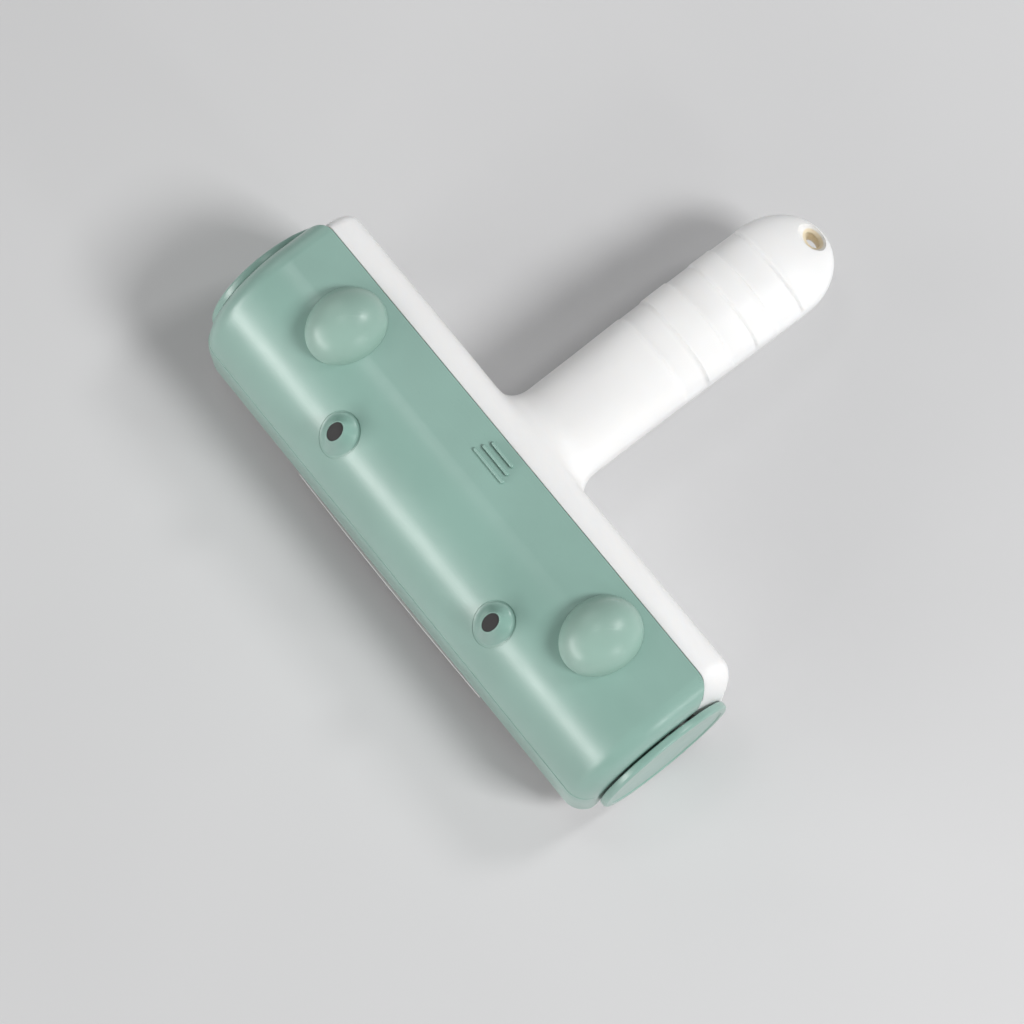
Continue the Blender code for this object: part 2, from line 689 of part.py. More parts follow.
def drum_fabric(name, sign):
    low, high = (sign * angle for angle in FABRIC_SPAN)
    outline = drum_band(FABRIC_INNER, FABRIC_RADIUS, low, high, 18)
    bm = prism_x(outline, -FABRIC_HALF, FABRIC_HALF)
    return add_object(f"fabric_pad_{name}", bm, FABRIC, DRUM_ORIGIN)


def centre_strip():
    outline = drum_band(FABRIC_INNER, STRIP_RADIUS, -STRIP_ANGLE, STRIP_ANGLE, 4)
    bm = prism_x(outline, -FABRIC_HALF, FABRIC_HALF)
    return add_object("centre_strip", bm, WHITE, DRUM_ORIGIN)


def drum_end(name, side):
    """A plug in the end of the tub, with the hollow journal that turns in the bush."""
    outer = TUB_RADII[0] - GAP
    profile = [
        (84.3, 3.1), (84.3, outer), (86.3, outer), (86.3, JOURNAL_RADIUS), (91.6, JOURNAL_RADIUS),
        (91.6, 4.8), (88.4, 4.8), (88.4, 1.6), (86.4, 1.6), (86.4, 3.1),
    ]
    bm = turned_x(profile, side, sides=30)
    return add_object(f"drum_end_{name}", bm, WHITE, DRUM_ORIGIN)


def end_cap(name, side):
    """The round outer disc, with a shallow step near its edge and a spigot for its screw."""
    r = CAP_RADIUS
    profile = [
        (88.8, 1.5), (88.8, 4.5), (CAP_INNER_X, 4.5), (CAP_INNER_X, r - 0.3),
        (CAP_INNER_X + 0.3, r), (CAP_OUTER_X - 0.8, r), (CAP_OUTER_X - 0.25, r - 0.25),
        (CAP_OUTER_X, r - 0.8), (CAP_OUTER_X, r - 2.6), (CAP_OUTER_X - 0.3, r - 2.8),
        (CAP_OUTER_X - 0.3, 0.0), (92.6, 0.0), (92.6, 1.5),
    ]
    bm = drop_axis_faces(turned_x(profile, side, sides=48))
    return add_object(f"end_cap_{name}", bm, GREEN, DRUM_ORIGIN, 25.0)


# ---------------------------------------------------------------- fasteners

def screw(name, place, direction, length, origin=ORIGIN, head=(2.3, 1.0), shaft=0.95):
    """A small screw: place is the outer middle of its head, direction points down its shaft."""
    head_radius, head_height = head
    profile = [
        (0.0, SCREW_RECESS_DEPTH), (SCREW_RECESS_RADIUS, SCREW_RECESS_DEPTH), (SCREW_RECESS_RADIUS + 0.2, 0.0),
        (head_radius - 0.35, 0.0), (head_radius, 0.4), (head_radius, head_height),
        (shaft, head_height), (shaft, length - 0.8), (0.3, length), (0.0, length),
    ]
    bm = bmesh.new()
    rings = []
    for radius, depth in profile:
        count = SCREW_SIDES if radius > 0 else 1
        angles = [2 * math.pi * k / SCREW_SIDES for k in range(count)]
        rings.append([bm.verts.new((radius * math.cos(a), radius * math.sin(a), depth)) for a in angles])
    skin(bm, rings, SCREW_SIDES)
    turn = Vector((0, 0, 1)).rotation_difference(Vector(direction)).to_matrix().to_4x4()
    bm.transform(Matrix.Translation(place) @ turn)
    return add_object(name, bm, STEEL, origin)


def housing_screws():
    for k, y in enumerate(HOUSING_SCREWS_Y):
        centre, height = handle_size(y)[2], handle_size(y)[1]
        head_z = centre - 4.0 - GAP - 1.6
        length = 1.6 + GAP + 4.0 + height * 0.5
        screw(f"housing_screw_{k + 1}", (0.0, y, head_z), (0, 0, 1), length, head=(2.7, 1.6), shaft=1.0)


def plate_screws():
    for name, side in SIDES:
        y, z, face = REAR_SCREW
        screw(f"rear_plate_screw_{name}", (side * (face - 0.1), y, z), (-side, 0, 0), 3.4, head=(2.2, 0.7))
        y, z, face = FRONT_SCREW
        screw(f"front_plate_screw_{name}", (side * face, y, z), (-side, 0, 0), 8.0, head=(2.3, 0.7))


def cap_screws():
    for name, side in SIDES:
        place = (side * 84.5, AXIS_Y, AXIS_Z)
        screw(f"cap_screw_{name}", place, (side, 0, 0), 7.4, DRUM_ORIGIN, head=(2.7, 1.6), shaft=1.1)


# ---------------------------------------------------------------- assembly

clear_scene()
PARTS = new_collection("lint_roller")
CUTTERS = new_collection("cutters", hidden=True)

LID_CLEARANCE = add_object("lid_clearance", lid_solid(GAP))
lid_shell()
HOUSING_TOOLS = housing_tools()
upper_housing()
lower_housing()
front_rail()
drum_tub()
drum_deck()
centre_strip()
for label, sign in (("front", -1), ("rear", 1)):
    scraper(label, sign)
    drum_fabric(label, sign)
for label, sign in SIDES:
    dome(label, sign)
    eye_boss(label, sign)
    pupil(label, sign)
    side_plate(label, sign)
    bush(label, sign)
    hinge_pin(label, sign)
    drum_end(label, sign)
    end_cap(label, sign)
housing_screws()
plate_screws()
cap_screws()
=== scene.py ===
"""The looks of the pet-hair roller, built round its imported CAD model."""

import json
import math

import bmesh
import bpy
import numpy as np
from mathutils import Matrix, Vector


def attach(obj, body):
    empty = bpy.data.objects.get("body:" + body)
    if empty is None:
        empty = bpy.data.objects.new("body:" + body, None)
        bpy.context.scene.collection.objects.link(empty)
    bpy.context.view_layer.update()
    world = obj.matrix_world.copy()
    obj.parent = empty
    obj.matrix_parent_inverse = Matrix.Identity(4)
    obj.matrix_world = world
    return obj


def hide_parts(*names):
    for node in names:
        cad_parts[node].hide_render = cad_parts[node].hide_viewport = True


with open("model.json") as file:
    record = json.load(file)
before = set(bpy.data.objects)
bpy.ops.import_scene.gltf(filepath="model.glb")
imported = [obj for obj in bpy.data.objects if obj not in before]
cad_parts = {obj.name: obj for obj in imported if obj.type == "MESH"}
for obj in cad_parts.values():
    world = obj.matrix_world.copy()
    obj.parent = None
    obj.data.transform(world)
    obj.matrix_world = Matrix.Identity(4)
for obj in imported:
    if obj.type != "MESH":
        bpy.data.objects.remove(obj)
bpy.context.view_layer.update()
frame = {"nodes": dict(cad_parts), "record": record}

MM = 0.001
SIDES = (("left", -1), ("right", 1))

# Shared dimensions, in millimetres. They follow the CAD. The lid's step, the ribs, the domes, the eyes,
# the pads, the finger bands, the hanging hole and the parting line are drawn a little finer here.
FRONT_Y = -83.9  # front face of the lid
SEAM_Y = -36.0  # rear edge of the lid
REAR_Y = -26.2  # rear wall of the housing
TOP_Z = 56.0  # flat top of the lid
SEAM_DROP = 0.4  # fall of the lid's top from its crown to the seam
SHOULDER = (33.0, 32.0)  # depth and height of the lid's front quarter ellipse
GAP = 0.3  # clearance left between neighbouring pieces
FAR = 120.0  # beyond the object on every side, for the ends of cutting tools

LID_HALF, LID_END_RADIUS, LID_WALL = 91.3, 7.0, 1.6
LID_SOLID_BOTTOM = -30.0  # the lid's solid starts here, well below the rim that it is cut to
LID_LEDGE_Z = 44.6  # the ledge of the housing under the lid's rear edge
STEP_Z = 29.5  # height of the fine step along the lid's lower rim
STEP_DEPTH = 0.2
STEP_SLOPE = 0.12  # height over which the step comes in
HINGE_Y, HINGE_Z, HINGE_X = -80.6, 14.0, 76.0
LUG_RADIUS, LUG_HALF, PIN_HOLE_RADIUS = 1.4, 2.0, 1.0
TAB_HALF = 9.0
RIB_LENGTHS = (13.5, 11.6, 9.6)
FIRST_RIB_Y, RIB_PITCH = -44.8, 2.55
RIB_WIDTH, RIB_HEIGHT = 1.15, 0.62

DOME_X, DOME_Y, DOME_Z = 58.8, -51.0, 55.0
DOME_AXES = (11.0, 12.8, 10.35)
EYE_X, EYE_Y = 36.0, -71.6
CONE_RADIUS, CONE_TOP, CONE_LEAN = 5.7, 6.9, -1.3
CONE_CURVE = 1.55  # above 1 the cone's side is hollow, below 1 it bulges
PUPIL_AXES = (2.2, 2.7)

AXIS_Y, AXIS_Z = -54.1, 24.0  # the drum's axis
CAP_RADIUS, CAP_INNER_X, CAP_OUTER_X = 23.0, 91.9, 94.5
SPIGOT_X, SPIGOT_RADIUS = 88.8, 4.5
PAD_INNER, PAD_OUTER, PAD_HALF = 21.75, 23.75, 85.0
PAD_SPAN = (5.2, 95.6)  # degrees from straight down

HOUSING_HALF, HOUSING_END_RADIUS = 91.5, 6.5
HOUSING_END_DROP = 4.4  # fall of the top for each millimetre that the end is rounded in
REAR_SHOULDER, FOOT_RADIUS, FOOT_FRONT_Y = (9.5, 12.0), 7.6, -39.4
DRUM_ROOM_HALF, DRUM_ROOM_RADIUS = 88.7, 25.2
HOUSING_SCREWS_Y = (-14.0, 24.0, 60.0)
SPLIT_GAP = 0.12  # half of the parting line between the two housing halves

TIP_Y, TIP_START_Y = 84.5, 64.9
HANDLE_WIDTH, HANDLE_HEIGHT = 16.0, 12.3  # half sizes at the root
HANDLE_GAIN = 0.6  # the half width grows by this towards the tip
HANDLE_THINNING = 0.35  # share of the height lost towards the tip
HANDLE_Z, HANDLE_DROOP, DROOP_START_Y = 31.0, 4.0, 20.0
ROOT_FILLET = 8.0
BANDS = ((17.0, 26.0), (35.0, 45.0), (52.5, 63.0))
BAND_DEPTH, BAND_RAMP, BAND_LIP = 0.7, 0.6, 0.3
HOLE_Y, HOLE_AXES = 80.4, (3.4, 2.1)
HOLE_TAPER = 1.0  # the hole narrows by this below its mouth
# How far the painted shade inside the hanging hole reaches past its edge.
HOLE_SHADE_MARGIN = 0.25


# ---------------------------------------------------------------- node helpers

class Nodes:
    """Short hand for building a material's node tree."""

    def __init__(self, name):
        self.material = bpy.data.materials.new(name)
        self.material.use_nodes = True
        self.tree = self.material.node_tree
        self.shader = self.tree.nodes["Principled BSDF"]

    def add(self, kind, **inputs):
        node = self.tree.nodes.new(kind)
        for key, value in inputs.items():
            self.feed(node.inputs[key], value)
        return node

    def feed(self, socket, value):
        """Links the socket to an output, or sets it to a plain value."""
        if hasattr(value, "is_output"):
            self.tree.links.new(value, socket)
        else:
            socket.default_value = value

    def link(self, output, socket):
        self.tree.links.new(output, self.shader.inputs[socket])

    def position(self):
        return self.add("ShaderNodeTexCoord").outputs["Object"]

    def noise(self, vector, scale, detail=3.0, roughness=0.5):
        node = self.add("ShaderNodeTexNoise", Vector=vector, Scale=scale, Detail=detail)
        node.inputs["Roughness"].default_value = roughness
        return node.outputs["Fac"]

    def remap(self, value, low, high, to_low=0.0, to_high=1.0):
        node = self.add("ShaderNodeMapRange", Value=value)
        node.inputs["From Min"].default_value = low
        node.inputs["From Max"].default_value = high
        node.inputs["To Min"].default_value = to_low
        node.inputs["To Max"].default_value = to_high
        return node.outputs["Result"]

    def math(self, operation, first, second=0.0, third=0.0):
        node = self.tree.nodes.new("ShaderNodeMath")
        node.operation = operation
        for socket, value in zip(node.inputs, (first, second, third)):
            self.feed(socket, value)
        return node.outputs[0]

    def mix(self, factor, first, second):
        node = self.tree.nodes.new("ShaderNodeMix")
        node.data_type = "RGBA"
        factor_socket, colour_sockets, colour_result = 0, (6, 7), 2
        self.feed(node.inputs[factor_socket], factor)
        for socket, value in zip(colour_sockets, (first, second)):
            self.feed(node.inputs[socket], value)
        return node.outputs[colour_result]

    def bump(self, height, strength, distance):
        node = self.add("ShaderNodeBump", Height=height, Strength=strength, Distance=distance)
        self.link(node.outputs["Normal"], "Normal")


def rgba(red, green, blue):
    return (red, green, blue, 1.0)


def moulded(name, colour, roughness, grain=0.25, variation=0.05, edge=0.12, coat=0.0):
    """Satin moulded plastic: slight flow marks in the colour, a fine spark-eroded grain, and a painted
    highlight along convex edges.
    """
    n = Nodes(name)
    place = n.position()
    cloud = n.noise(place, 28.0, 4.0)
    dark = rgba(*(c * (1 - variation) for c in colour))
    light = rgba(*(min(c * (1 + variation), 1.0) for c in colour))
    base = n.mix(n.remap(cloud, 0.35, 0.65), dark, light)
    # Painted highlight: convex edges, found by pointiness, are made lighter and a little less rough; edge
    # sets how strong it is.
    edges = n.add("ShaderNodeNewGeometry").outputs["Pointiness"]
    edge_highlight_mask = n.remap(edges, 0.53, 0.62, 0.0, edge)
    edge_highlight_colour = rgba(*(min(c * 1.25 + 0.06, 1.0) for c in colour))
    n.link(n.mix(edge_highlight_mask, base, edge_highlight_colour), "Base Color")
    scuffs = n.noise(place, 160.0, 5.0, 0.6)
    rough = n.remap(scuffs, 0.3, 0.7, roughness - 0.04, roughness + 0.05)
    n.link(n.math("SUBTRACT", rough, n.math("MULTIPLY", edge_highlight_mask, 0.4)), "Roughness")
    fine = n.noise(place, 2600.0, 2.0)
    waves = n.noise(place, 45.0, 2.0)
    n.bump(n.math("MULTIPLY_ADD", waves, 0.4, fine), grain, 0.00003)
    n.shader.inputs["IOR"].default_value = 1.56
    n.shader.inputs["Coat Weight"].default_value = coat
    n.shader.inputs["Coat Roughness"].default_value = 0.3
    return n.material


def white_moulded():
    """The housing's white plastic, with painted warm shade on the wall inside the hanging hole."""
    n = Nodes("white_satin")
    place = n.position()
    cloud = n.remap(n.noise(place, 24.0, 4.0), 0.35, 0.65)
    base = n.mix(cloud, rgba(0.86, 0.857, 0.85), rgba(0.89, 0.888, 0.883))
    # Painted shade: a tan tint, standing in for the warm shade inside the hanging hole, fills an oval a
    # little wider than the hole.
    apart = n.add("ShaderNodeSeparateXYZ", Vector=place)
    wide, deep = ((axis + HOLE_SHADE_MARGIN) * MM for axis in HOLE_AXES)
    across = n.math("DIVIDE", apart.outputs["X"], wide)
    along = n.math("DIVIDE", n.math("SUBTRACT", apart.outputs["Y"], HOLE_Y * MM), deep)
    reach = n.math("ADD", n.math("MULTIPLY", across, across), n.math("MULTIPLY", along, along))
    inside = n.remap(reach, 1.25, 0.95)
    n.link(n.mix(inside, base, rgba(0.80, 0.69, 0.50)), "Base Color")
    scuffs = n.noise(place, 140.0, 5.0, 0.6)
    n.link(n.remap(scuffs, 0.3, 0.7, 0.36, 0.46), "Roughness")
    fine = n.noise(place, 2400.0, 2.0)
    waves = n.noise(place, 40.0, 2.0)
    n.bump(n.math("MULTIPLY_ADD", waves, 0.4, fine), 0.22, 0.00003)
    n.shader.inputs["IOR"].default_value = 1.47
    n.shader.inputs["Subsurface Weight"].default_value = 0.3
    n.shader.inputs["Subsurface Radius"].default_value = (1.0, 0.9, 0.8)
    n.shader.inputs["Subsurface Scale"].default_value = 0.006
    return n.material


def pile_fabric():
    """Short directional lint pile: woven rows of fibre tips leaning one way round the drum."""
    n = Nodes("lint_pile")
    place = n.position()
    stretch = n.add("ShaderNodeMapping", Vector=place)
    stretch.inputs["Scale"].default_value = (1.0, 0.35, 0.35)
    tufts = n.noise(stretch.outputs["Vector"], 2300.0, 3.0, 0.6)
    patches = n.noise(place, 60.0, 4.0)
    rows = n.add("ShaderNodeTexWave", Vector=place, Scale=420.0, Distortion=2.0)
    rows.bands_direction = "X"
    shade = n.math("MULTIPLY_ADD", tufts, 0.6, n.math("MULTIPLY", patches, 0.4))
    tone = n.remap(shade, 0.3, 0.7)
    n.link(n.mix(tone, rgba(0.36, 0.035, 0.032), rgba(0.66, 0.12, 0.10)), "Base Color")
    n.link(n.remap(tufts, 0.2, 0.8, 0.85, 1.0), "Roughness")
    n.bump(n.math("MULTIPLY_ADD", rows.outputs["Fac"], 0.35, tufts), 0.8, 0.0003)
    n.shader.inputs["Sheen Weight"].default_value = 0.7
    n.shader.inputs["Sheen Roughness"].default_value = 0.45
    n.shader.inputs["Sheen Tint"].default_value = rgba(1.0, 0.75, 0.72)
    n.shader.inputs["Specular IOR Level"].default_value = 0.2
    return n.material


def dull_rubber():
    """Dark rubber with the faint pale bloom that comes with age."""
    n = Nodes("dull_rubber")
    place = n.position()
    bloom = n.noise(place, 90.0, 5.0, 0.6)
    tone = n.remap(bloom, 0.35, 0.7)
    n.link(n.mix(tone, rgba(0.05, 0.052, 0.054), rgba(0.10, 0.102, 0.10)), "Base Color")
    n.link(n.remap(bloom, 0.3, 0.7, 0.62, 0.82), "Roughness")
    n.bump(n.noise(place, 1800.0, 3.0), 0.35, 0.00008)
    return n.material


def plated_steel():
    """Zinc-plated steel with cloudy spots in the plating."""
    n = Nodes("zinc_steel")
    place = n.position()
    turned = n.noise(place, 900.0, 3.0)
    spots = n.noise(place, 240.0, 4.0)
    tone = n.remap(spots, 0.35, 0.7)
    n.link(n.mix(tone, rgba(0.50, 0.51, 0.53), rgba(0.66, 0.66, 0.65)), "Base Color")
    n.link(n.remap(turned, 0.3, 0.7, 0.24, 0.42), "Roughness")
    n.shader.inputs["Metallic"].default_value = 1.0
    n.bump(turned, 0.25, 0.00005)
    return n.material


GREEN = moulded("mint_satin", (0.255, 0.418, 0.362), 0.32, coat=0.6)
# Painted light: the domes get a lighter, warmer copy of the lid's mint, standing in for the light that
# they catch.
LIT_DOME_GREEN = moulded("mint_satin_lit_dome", (0.290, 0.442, 0.380), 0.38, coat=0.3)
WHITE = white_moulded()
INNER_WHITE = moulded("white_inner", (0.80, 0.80, 0.79), 0.45, edge=0.0)
DARK = moulded("pupil_satin", (0.030, 0.029, 0.029), 0.75, grain=0.5, variation=0.12, edge=0.0)
BUSH = moulded("bush_acetal", (0.06, 0.06, 0.062), 0.40, edge=0.05)
FABRIC = pile_fabric()
RUBBER = dull_rubber()
STEEL = plated_steel()
FINISH = {
    "mint_plastic": GREEN,
    "white_plastic": INNER_WHITE,
    "pupil_plastic": BUSH,
    "lint_fabric": FABRIC,
    "grey_rubber": RUBBER,
    "screw_steel": STEEL,
}


# ---------------------------------------------------------------- mesh helpers

def new_object(name, bm, material=None):
    """An object made of the solid in bm, which is in millimetres and is used up."""
    bmesh.ops.recalc_face_normals(bm, faces=bm.faces)
    bm.transform(Matrix.Scale(MM, 4))
    mesh = bpy.data.meshes.new(name)
    bm.to_mesh(mesh)
    bm.free()
    obj = bpy.data.objects.new(name, mesh)
    bpy.context.scene.collection.objects.link(obj)
    if material:
        mesh.materials.append(material)
    return obj


def boolean(target, bm, operation="DIFFERENCE"):
    """Cuts with, or joins on, the solid in bm, which is used up."""
    tool = new_object("tool", bm)
    modifier = target.modifiers.new("boolean", "BOOLEAN")
    modifier.operation = operation
    modifier.object = tool
    modifier.solver = "EXACT"
    bake(target)
    bpy.data.objects.remove(tool, do_unlink=True)
    return target


def bake(obj):
    """Replaces the object's mesh with what its modifiers make of it."""
    graph = bpy.context.evaluated_depsgraph_get()
    made = bpy.data.meshes.new_from_object(obj.evaluated_get(graph))
    obj.modifiers.clear()
    old = obj.data
    obj.data = made
    bpy.data.meshes.remove(old)
    return obj


def shade(obj, angle=30.0, bevel=0.0):
    """Smooth shading with crisp edges, flat faces kept flat, and an optional fine edge radius."""
    mesh = obj.data
    mesh.shade_smooth()
    mesh.set_sharp_from_angle(angle=math.radians(angle))
    if bevel:
        made = obj.modifiers.new("edge radius", "BEVEL")
        made.width = bevel * MM
        made.segments = 2
        made.limit_method = "ANGLE"
        made.angle_limit = math.radians(max(angle, 35.0))
        made.harden_normals = False
    weighted = obj.modifiers.new("flat faces", "WEIGHTED_NORMAL")
    weighted.keep_sharp = True
    return obj


def finish_piece(obj, body, node):
    """Hangs the piece on its body and puts it in the place of one CAD node."""
    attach(obj, body)
    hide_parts(node)
    return obj


def loft(rings, closed=False):
    """A solid through rings of equal count; closed joins the last ring to the first."""
    bm = bmesh.new()
    layers = [[bm.verts.new(point) for point in ring] for ring in rings]
    pairs = list(zip(layers, layers[1:]))
    if closed:
        pairs.append((layers[-1], layers[0]))
    for first, second in pairs:
        for k in range(len(first)):
            n = (k + 1) % len(first)
            bm.faces.new((first[k], first[n], second[n], second[k]))
    if not closed:
        bm.faces.new(layers[0])
        bm.faces.new(layers[-1])
    return bm


def prism_x(outline, low, high):
    return loft([[(x, y, z) for y, z in outline] for x in (low, high)])


def prism_z(outline, low, high):
    return loft([[(x, y, z) for x, y in outline] for z in (low, high)])


def box(low, high):
    outline = [(low[1], low[2]), (high[1], low[2]), (high[1], high[2]), (low[1], high[2])]
    return prism_x(outline, low[0], high[0])


def arc(centre, radius, start, end, steps):
    """Points along a circle, or along an ellipse if radius is a pair; the angles are in degrees."""
    wide, high = radius if isinstance(radius, tuple) else (radius, radius)
    points = []
    for k in range(steps + 1):
        angle = math.radians(start + (end - start) * k / steps)
        points.append((centre[0] + wide * math.cos(angle), centre[1] + high * math.sin(angle)))
    return points


def cylinder_x(centre, radius, low, high, sides=96):
    return prism_x(arc(centre, radius, 0.0, 360.0, sides)[:-1], low, high)


def turned_x(profile, side, centre=(AXIS_Y, AXIS_Z), sides=160):
    """A solid turned round an axis along X; the profile's end points lie on the axis."""
    bm = bmesh.new()
    rings = []
    for x, r in profile:
        count = sides if r > 0 else 1
        angles = [2 * math.pi * k / sides for k in range(count)]
        ring = [(side * x, centre[0] + r * math.cos(a), centre[1] + r * math.sin(a)) for a in angles]
        rings.append([bm.verts.new(point) for point in ring])
    skin(bm, rings, sides)
    return bm


def skin(bm, rings, sides):
    """Joins rings of equal count, of which the first and the last may be single points."""
    for first, second in zip(rings, rings[1:]):
        for k in range(sides):
            n = (k + 1) % sides
            corner = [first[k % len(first)], first[n % len(first)]]
            corner += [second[n % len(second)], second[k % len(second)]]
            bm.faces.new(list(dict.fromkeys(corner)))


def rounded_bar(outline_at, half_length, end_radius, steps=12):
    """A bar along X with rounded ends; outline_at gives its section, inset by a depth."""
    rings = []
    for side in (-1, 1):
        ends = []
        for k in range(steps + 1):
            angle = math.radians(90.0 * k / steps)
            x = side * (half_length - end_radius * (1 - math.sin(angle)))
            section = outline_at(end_radius * (1 - math.cos(angle)))
            ends.append([(x, y, z) for y, z in section])
        rings += ends[::-1] if side < 0 else ends
    return loft(rings)


def smooth_step(low, high, value):
    u = min(max((value - low) / (high - low), 0.0), 1.0)
    return u * u * (3 - 2 * u)


# ---------------------------------------------------------------- lid

def lid_outline(depth=0.0, step=0.0, arc_steps=56):
    """The lid's section, inset by depth; above STEP_Z it is a further step inside."""
    centre = (FRONT_Y + SHOULDER[0], TOP_Z - SHOULDER[1])
    lower = (SHOULDER[0] - depth, SHOULDER[1] - depth)
    upper = (lower[0] - step, lower[1] - step)
    below = math.degrees(math.asin((STEP_Z - centre[1]) / lower[1]))
    above = math.degrees(math.asin((STEP_Z + STEP_SLOPE - centre[1]) / upper[1]))
    points = [(FRONT_Y + depth, LID_SOLID_BOTTOM)]
    points += arc(centre, lower, 180.0, 180.0 - below, 8)
    points += arc(centre, upper, 180.0 - above, 90.0, arc_steps)
    points.append((SEAM_Y - depth, TOP_Z - SEAM_DROP - depth - step))
    points.append((SEAM_Y - depth, LID_SOLID_BOTTOM + depth))
    return points


def lid_solid(offset, step=0.0, arc_steps=56, end_steps=14):
    return rounded_bar(
        lambda depth: lid_outline(depth - offset, step, arc_steps),
        LID_HALF + offset,
        LID_END_RADIUS + offset,
        end_steps,
    )


def lid_top_z(y):
    """Height of the lid's outer face at y, without the step."""
    wide, high = SHOULDER
    reach = min(max((FRONT_Y + wide - y) / wide, 0.0), 1.0)
    return TOP_Z - high + high * math.sqrt(1 - reach * reach)


def eye_rings(side, steps, sides=96):
    """A solid on an eye's upright axis, from (x radius, y radius, height over the lid, y shift)."""
    bm = bmesh.new()
    rings = []
    for wide, deep, height, shift in steps:
        if wide == 0.0:
            points = [(side * EYE_X, EYE_Y + shift)]
        else:
            points = arc((side * EYE_X, EYE_Y + shift), (wide, deep), 0.0, 360.0, sides)[:-1]
        rings.append([bm.verts.new((x, y, lid_top_z(y) + height)) for x, y in points])
    skin(bm, rings, sides)
    return bm


def groove_tool(side):
    """The ring-shaped groove round an eye, with sloping sides."""
    # Radius and height over the lid: down the outer slope, along the floor, up the inner slope
    section = [(6.75, 0.6), (6.5, 0.02), (6.25, -0.5), (5.95, -0.5), (5.8, 0.02), (5.55, 0.6)]
    sides = 96
    rings = []
    for k in range(sides):
        angle = 2 * math.pi * k / sides
        ring = []
        for radius, height in section:
            x = side * EYE_X + radius * math.cos(angle)
            y = EYE_Y + radius * math.sin(angle)
            ring.append((x, y, lid_top_z(y) + height))
        rings.append(ring)
    return loft(rings, closed=True)


def rib_tool(y, length):
    """A thumb rib: a low bar with a rounded top and rounded ends, rooted in the lid's wall."""
    half = length / 2 - RIB_WIDTH / 2
    root, foot_share, steps = 0.8, 0.56, 8
    rings = []
    for k in range(steps + 1):
        t = k / steps
        radius = RIB_WIDTH / 2 * math.cos(math.radians(86 * t)) ** 0.6
        rise = foot_share + (1 - foot_share) * math.sin(math.radians(90 * t)) if k else 0.0
        z = TOP_Z - root + (root + RIB_HEIGHT) * rise
        ends = arc((half, y), radius, -90, 90, 10) + arc((-half, y), radius, 90, 270, 10)
        rings.append([(x, py, z) for x, py in ends])
    return loft(rings)


def hollow_lid(lid):
    """Leaves the wall, then cuts off what lies under the front rim, the end rims and the rear edge."""
    boolean(lid, lid_solid(-LID_WALL, 0.0, 24, 8))
    under = [(-110.0, -50.0), (-110.0, 12.0), (-79.0, 12.0), (-66.0, 36.0), (-44.0, 45.5)]
    under += [(-20.0, 45.5), (-20.0, -50.0)]
    boolean(lid, prism_x(under, -110, 110))


def add_hinge_lug(lid, side):
    """A lug inside the front wall, with the hole for its hinge pin."""
    low, high = sorted((side * (HINGE_X - LUG_HALF), side * (HINGE_X + LUG_HALF)))
    lug = arc((HINGE_Y, HINGE_Z), LUG_RADIUS, -90, 90, 16)
    lug += [(FRONT_Y + 1.0, HINGE_Z + LUG_RADIUS), (FRONT_Y + 1.0, HINGE_Z - LUG_RADIUS)]
    boolean(lid, prism_x(lug, low, high), "UNION")
    boolean(lid, cylinder_x((HINGE_Y, HINGE_Z), PIN_HOLE_RADIUS, low - 1, high + 1, 24))


def add_snap_tab(lid):
    """The tab inside the rear edge, whose lip catches under the housing's ridge."""
    tab = [(-3.0, 40.5), (-1.2, 40.5), (-1.2, 42.0), (-1.8, 42.0), (-1.8, 45.7), (-1.0, 46.5)]
    tab += [(-1.0, 52.0), (-3.0, 52.0)]
    boolean(lid, prism_x([(SEAM_Y + y, z) for y, z in tab], -TAB_HALF, TAB_HALF), "UNION")


def build_lid():
    lid = new_object("lid_skin", lid_solid(0.0, STEP_DEPTH), GREEN)
    hollow_lid(lid)
    for k, length in enumerate(RIB_LENGTHS):
        boolean(lid, rib_tool(FIRST_RIB_Y + RIB_PITCH * k, length), "UNION")
    for _, side in SIDES:
        boolean(lid, groove_tool(side))
        add_hinge_lug(lid, side)
    add_snap_tab(lid)
    shade(lid, 28.0)
    return finish_piece(lid, "lid", "lid_shell")


def build_eye(name, side):
    """A hollow-sided cone inside the ring groove, leaning a little to the front, with a seat on top."""
    rim_x, rim_y = PUPIL_AXES
    edge_x, edge_y = rim_x + 0.35, rim_y + 0.35
    seat, steps_down = CONE_TOP - 0.45, 14
    steps = [(0.0, 0.0, seat, CONE_LEAN), (rim_x, rim_y, seat, CONE_LEAN)]
    steps.append((rim_x, rim_y, CONE_TOP - 0.1, CONE_LEAN))
    steps.append((rim_x + 0.12, rim_y + 0.12, CONE_TOP, CONE_LEAN))
    for k in range(1, steps_down + 1):
        u = k / steps_down
        wide = edge_x + (CONE_RADIUS - rim_x - 0.35) * u
        deep = edge_y + (CONE_RADIUS - rim_y - 0.35) * u
        fall = (1 - u) ** CONE_CURVE
        steps.append((wide, deep, 0.15 + (CONE_TOP - 0.2) * fall, CONE_LEAN * (1 - u)))
    steps += [(CONE_RADIUS, CONE_RADIUS, -0.2, 0.0), (0.0, 0.0, -0.2, 0.0)]
    boss = new_object(f"eye_cone_{name}", eye_rings(side, steps), GREEN)
    shade(boss, 40.0)
    finish_piece(boss, "lid", f"eye_boss_{name}")


def build_pupil(name, side):
    """The dark disc in the eye's seat, with a finely rounded edge."""
    wide, deep = PUPIL_AXES
    top, bottom = CONE_TOP - 0.2, CONE_TOP - 0.44
    disc = [(0.0, 0.0, CONE_TOP - 0.22, CONE_LEAN), (wide - 0.25, deep - 0.25, top, CONE_LEAN)]
    disc.append((wide - 0.08, deep - 0.08, CONE_TOP - 0.27, CONE_LEAN))
    disc.append((wide - 0.08, deep - 0.08, bottom, CONE_LEAN))
    disc.append((0.0, 0.0, bottom, CONE_LEAN))
    pupil = new_object(f"pupil_disc_{name}", eye_rings(side, disc), DARK)
    shade(pupil, 35.0)
    finish_piece(pupil, "lid", f"pupil_{name}")


